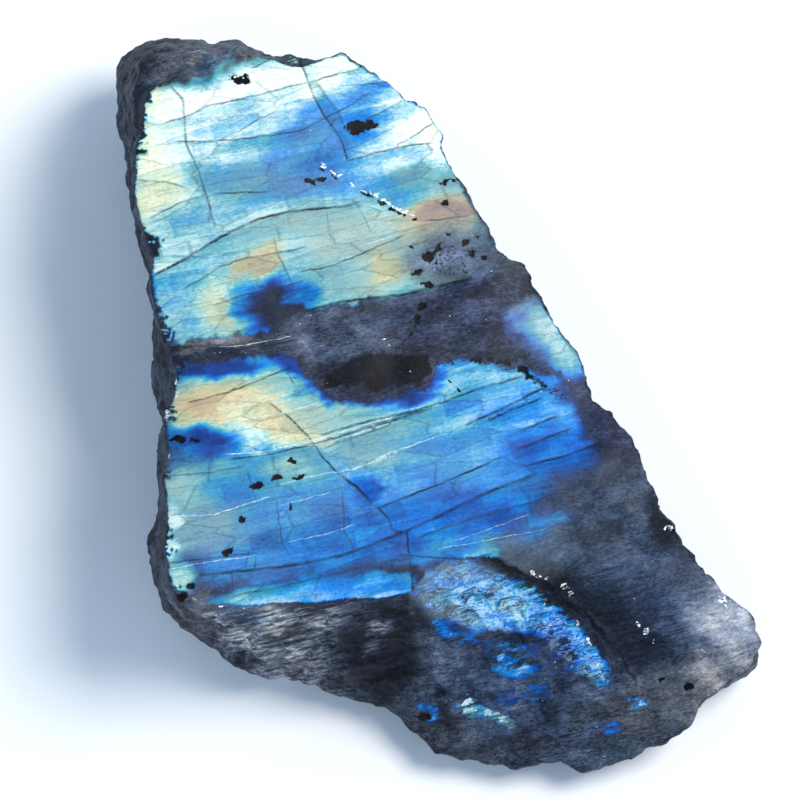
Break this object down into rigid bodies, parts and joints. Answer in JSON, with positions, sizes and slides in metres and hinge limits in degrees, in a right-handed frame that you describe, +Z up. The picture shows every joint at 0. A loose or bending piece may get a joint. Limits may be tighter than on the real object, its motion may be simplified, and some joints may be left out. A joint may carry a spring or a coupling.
{
  "type": "rough labradorite chunk",
  "caption": "Rough wedge-shaped chunk of labradorite with a flashing blue and gold cleavage face over dark broken sides and a crusted corner.",
  "frame": {"origin": "centre of the stone's plan at the level of the flat break it rests on", "axes": "+Z up from the resting break towards the flashing face, +Y along the stone's long axis towards its blunt crusted end"},
  "size_m": [0.0489, 0.0882, 0.0225],
  "materials": {
    "labradorite": "glassy cleavage and broken feldspar"
  },
  "bodies": {
    "root": {"labradorite_chunk": "labradorite"}
  },
  "joints": []
}
